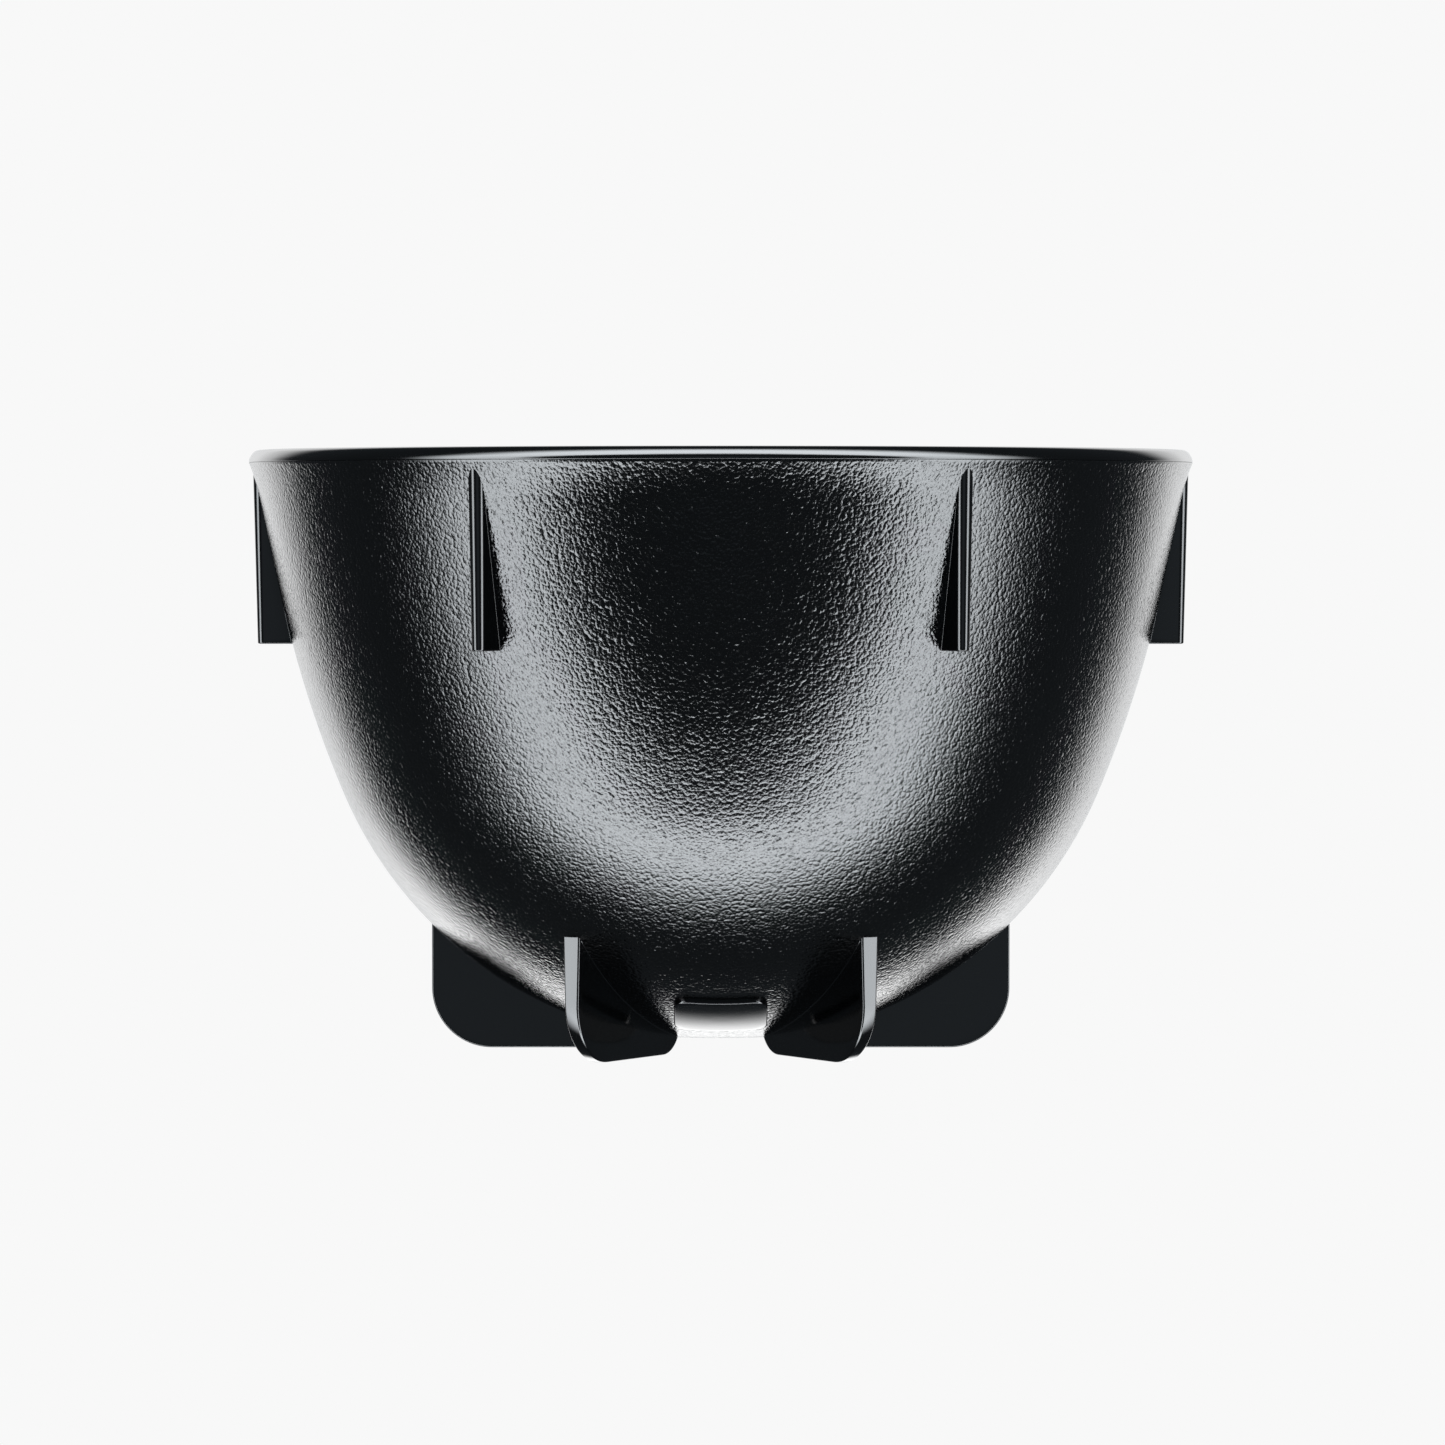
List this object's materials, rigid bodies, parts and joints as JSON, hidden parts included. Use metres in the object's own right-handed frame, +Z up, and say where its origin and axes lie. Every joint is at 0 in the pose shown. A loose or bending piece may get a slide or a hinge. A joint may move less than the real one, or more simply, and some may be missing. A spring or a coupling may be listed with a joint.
{
  "type": "hair colour mixing bowl",
  "caption": "Deep round-bottomed bowl for mixing hair colour, with a polished rim, grained wall, upright stacking ribs below the rim and radial fin feet.",
  "frame": {"origin": "on the bowl's axis, in the plane of the feet's soles", "axes": "+Z up out of the bowl's mouth; -Y towards the raised mark; +X to the right of the mark as seen from the front, through one foot and one rib"},
  "size_m": [0.13, 0.13, 0.0825],
  "materials": {
    "grained_plastic": "satin",
    "polished_plastic": "polished"
  },
  "bodies": {
    "root": {"bowl_wall": "grained_plastic", "rim_band": "polished_plastic", "base_disc": "polished_plastic", "raised_mark": "polished_plastic", "stacking_rib_1": "polished_plastic", "stacking_rib_2": "polished_plastic", "stacking_rib_3": "polished_plastic", "stacking_rib_4": "polished_plastic", "stacking_rib_5": "polished_plastic", "stacking_rib_6": "polished_plastic", "foot_1": "polished_plastic", "foot_2": "polished_plastic", "foot_3": "polished_plastic", "foot_4": "polished_plastic", "foot_5": "polished_plastic", "foot_6": "polished_plastic"}
  },
  "joints": []
}
